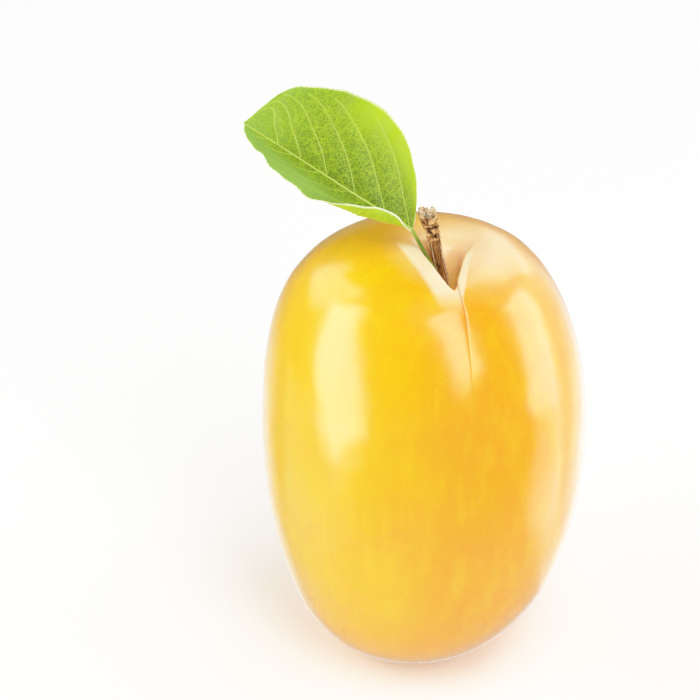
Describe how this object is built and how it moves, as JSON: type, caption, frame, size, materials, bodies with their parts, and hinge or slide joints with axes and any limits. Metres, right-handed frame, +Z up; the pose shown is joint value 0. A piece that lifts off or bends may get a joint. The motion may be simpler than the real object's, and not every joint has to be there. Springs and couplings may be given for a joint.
{
  "type": "plum",
  "caption": "Egg-shaped yellow plum with a suture groove, a narrow stalk cavity, a snapped woody stalk and a folded leaf; it stands on the small flat of its blossom end.",
  "frame": {"origin": "centre of the small flat on the fruit's blossom end, on which it stands", "axes": "+Z runs up the fruit's axis towards the stalk, -Y is the side with the suture, and the leaf points to -X"},
  "size_m": [0.0426, 0.0402, 0.0743],
  "materials": {
    "plum_skin": "waxy, soft gloss",
    "stalk_bark": "dry, ridged bark",
    "leaf_green": "satin leaf"
  },
  "bodies": {
    "root": {"fruit": "plum_skin", "stalk": "stalk_bark", "leaf": "leaf_green"}
  },
  "joints": []
}
